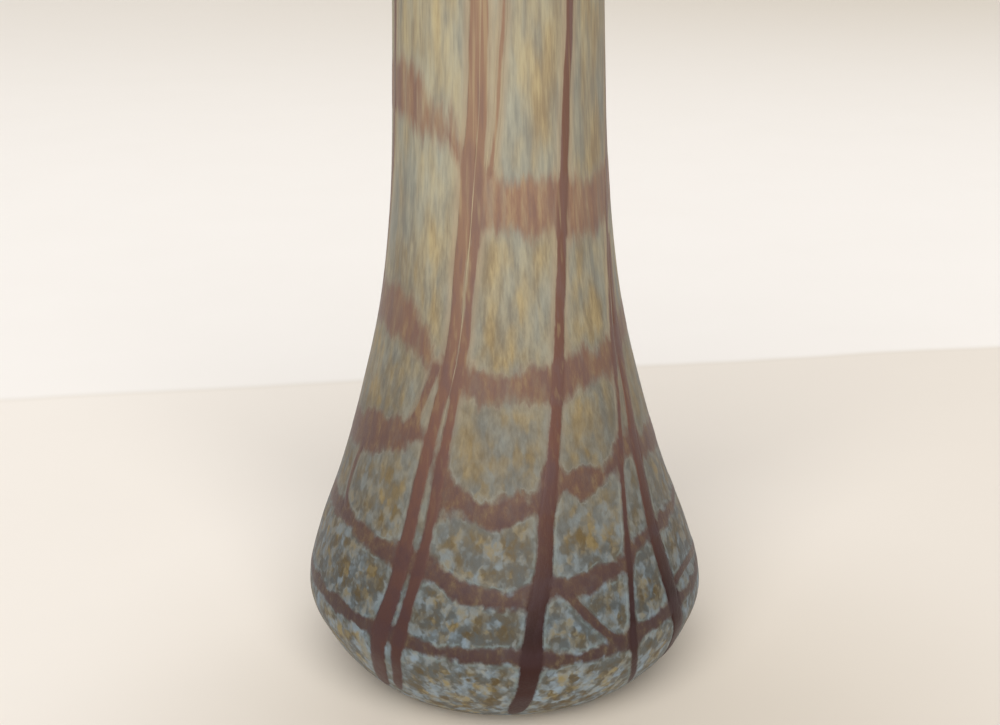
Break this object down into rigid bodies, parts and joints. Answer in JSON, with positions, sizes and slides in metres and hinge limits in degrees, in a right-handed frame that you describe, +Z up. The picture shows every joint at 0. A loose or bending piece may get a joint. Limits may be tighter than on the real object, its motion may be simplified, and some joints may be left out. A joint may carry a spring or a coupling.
{
  "type": "hand blown art glass vase",
  "caption": "Tall hand blown vase: low round belly, long tapering neck, mottled satin skin, dark upright trails over softer wound bands.",
  "frame": {"origin": "centre of the foot ring, on the plane it stands on", "axes": "+Z up along the vase's axis; -Y is the side with the paired trail, +X to its right"},
  "size_m": [0.1498, 0.15, 0.35],
  "materials": {
    "skin": "satin, mottled blue-grey and straw",
    "trail": "satin dark aubergine brown",
    "band": "satin soft mauve brown",
    "body": "clear, faintly straw coloured, ground at the foot",
    "lining": "glossy pale straw"
  },
  "bodies": {
    "root": {"glass_body": "body", "inner_lining": "lining", "mottled_skin": "skin", "strand_diagonal": "trail", "strand_left_low": "trail", "strand_left_upper": "trail", "strand_right_fork": "trail", "trail_back_centre": "trail", "trail_back_centre_fine": "trail", "trail_back_left": "trail", "trail_back_right": "trail", "trail_centre": "trail", "trail_left_fine": "trail", "trail_left_inner": "trail", "trail_left_outer": "trail", "trail_right_dark": "trail", "trail_right_fine": "trail", "trail_side_left": "trail", "wound_band_belly": "band", "wound_band_heel": "band", "wound_band_lip": "band", "wound_band_neck": "band", "wound_band_shoulder": "band", "wound_band_waist": "band"}
  },
  "joints": []
}
